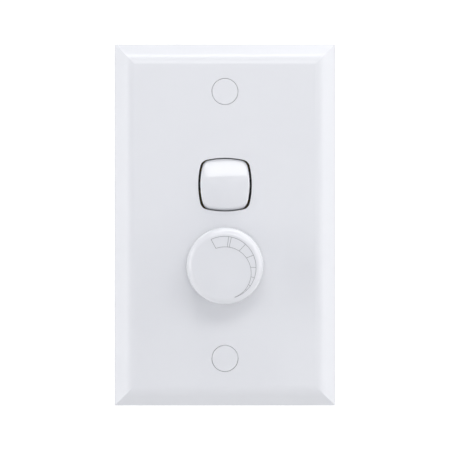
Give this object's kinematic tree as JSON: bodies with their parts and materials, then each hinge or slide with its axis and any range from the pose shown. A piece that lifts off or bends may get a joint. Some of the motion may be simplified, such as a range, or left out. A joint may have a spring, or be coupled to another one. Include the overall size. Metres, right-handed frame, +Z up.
{
  "type": "wall plate with rocker switch and rotary dimmer",
  "caption": "Vertical bevelled wall plate with a small rocker switch above a round rotary dimmer knob, with screw covers and both mechanisms behind.",
  "frame": {"origin": "middle of the line between the two fixing screws, on the wall surface (the plane of the plate's rear rim)", "axes": "+Z up along the plate's longer side, +Y into the wall along the fixing screws, +X to the right seen from the room"},
  "size_m": [0.0698, 0.0535, 0.1142],
  "materials": {
    "white_gloss": "gloss",
    "white_matt": "satin",
    "black_plastic": "satin",
    "zinc_steel": "zinc plated",
    "spring_steel": "satin",
    "brass": "satin",
    "silver": "satin",
    "phenolic": "matt",
    "ferrite": "satin",
    "copper": "enamelled",
    "yellow_film": "satin",
    "orange_film": "satin",
    "resistor_body": "satin",
    "fuse_glass": "clear with metal ends",
    "aluminium": "mill"
  },
  "bodies": {
    "plate": {"front_plate": "white_gloss", "fixing_screws": "zinc_steel", "switch_housing": "black_plastic", "switch_base": "white_matt", "common_terminal": "brass", "first_terminal": "brass", "second_terminal": "brass", "loop_terminal": "brass", "fixed_contacts": "silver", "switch_clamp_screws": "zinc_steel", "dimmer_cover": "white_matt", "dimmer_case": "black_plastic", "case_screws": "zinc_steel", "potentiometer": "zinc_steel", "pot_track": "phenolic", "bush_washer": "zinc_steel", "bush_nut": "brass", "circuit_board": "phenolic", "choke_core": "ferrite", "choke_winding": "copper", "suppression_capacitor": "yellow_film", "timing_capacitors": "orange_film", "resistors": "resistor_body", "diac": "resistor_body", "fuse": "fuse_glass", "fuse_clips": "brass", "heat_sink": "aluminium", "triac": "black_plastic", "triac_screw": "zinc_steel", "active_terminal": "brass", "load_terminal": "brass", "spare_terminal": "brass", "dimmer_clamp_screws": "zinc_steel"},
    "rocker": {"rocker": "white_gloss", "rocker_plunger": "white_matt", "plunger_spring": "spring_steel"},
    "contact": {"moving_contact": "brass"},
    "knob": {"knob": "white_gloss", "knob_clip": "spring_steel", "dimmer_shaft": "zinc_steel", "pot_wiper": "white_matt"},
    "upper_cap": {"upper_screw_cap": "white_gloss"},
    "lower_cap": {"lower_screw_cap": "white_gloss"}
  },
  "joints": [
    {"name": "rocker_tilt", "type": "hinge", "parent": "plate", "child": "rocker", "pos_m": [0, -0.0062, 0.0127], "axis": [1, 0, 0], "range_deg": [0, 13]},
    {"name": "contact_tilt", "type": "hinge", "parent": "plate", "child": "contact", "pos_m": [0, 0.00455, 0.0127], "axis": [1, 0, 0], "range_deg": [-11.8, 0]},
    {"name": "knob_turn", "type": "hinge", "parent": "plate", "child": "knob", "pos_m": [0, -0.012, -0.0127], "axis": [0, 1, 0], "range_deg": [-245, 25]},
    {"name": "upper_cap_pull", "type": "slide", "parent": "plate", "child": "upper_cap", "axis": [0, -1, 0], "range_m": [0, 0.012]},
    {"name": "lower_cap_pull", "type": "slide", "parent": "plate", "child": "lower_cap", "axis": [0, -1, 0], "range_m": [0, 0.012]}
  ],
  "couplings": [
    {"joint": "contact_tilt", "follows": "rocker_tilt", "ratio": -0.9}
  ]
}
